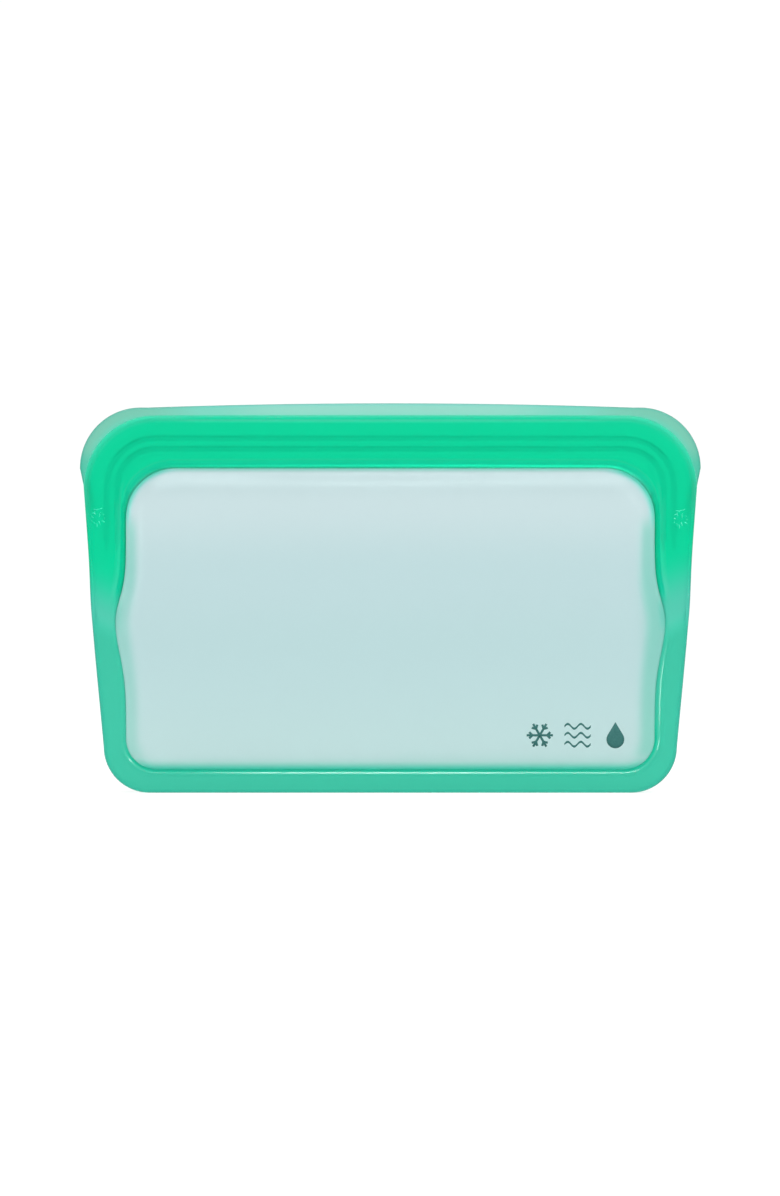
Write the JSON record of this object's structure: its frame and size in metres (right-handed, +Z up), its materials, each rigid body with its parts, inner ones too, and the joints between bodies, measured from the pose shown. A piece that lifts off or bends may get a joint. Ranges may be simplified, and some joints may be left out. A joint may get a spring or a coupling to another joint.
{
  "type": "reusable silicone bag",
  "caption": "Flat reusable silicone food bag with clear panels in a green moulded frame and a press-seal mouth whose two lips bend open.",
  "frame": {"origin": "middle of the bottom edge, in the plane where the front and rear halves meet", "axes": "+X along the mouth to the viewer's right, -Y out of the front face, +Z up towards the mouth"},
  "size_m": [0.19, 0.0131, 0.119],
  "materials": {
    "green_silicone": "translucent green silicone, satin",
    "clear_silicone": "translucent clear silicone with a faint green cast, frosted",
    "print_ink": "dark green printed ink, matte"
  },
  "bodies": {
    "pouch": {"front_panel_lower": "clear_silicone", "rear_panel_lower": "clear_silicone", "bottom_seam": "green_silicone", "left_side_seam": "green_silicone", "right_side_seam": "green_silicone", "left_mouth_corner": "green_silicone", "right_mouth_corner": "green_silicone", "care_marks": "print_ink"},
    "front_wall": {"front_lip": "green_silicone", "front_panel_upper": "clear_silicone", "upper_seal_rib": "green_silicone", "lower_seal_rib": "green_silicone"},
    "rear_wall": {"rear_lip": "green_silicone", "rear_panel_upper": "clear_silicone", "outer_seal_rail": "green_silicone", "middle_seal_rail": "green_silicone", "inner_seal_rail": "green_silicone"}
  },
  "joints": [
    {"name": "front_lip_opens", "type": "hinge", "parent": "pouch", "child": "front_wall", "pos_m": [0, -0.00655, 0.054], "axis": [1, 0, 0], "range_deg": [0, 60], "stiffness_Nm_per_rad": 0.02},
    {"name": "rear_lip_opens", "type": "hinge", "parent": "pouch", "child": "rear_wall", "pos_m": [0, 0.00655, 0.054], "axis": [-1, 0, 0], "range_deg": [0, 60], "stiffness_Nm_per_rad": 0.02}
  ]
}
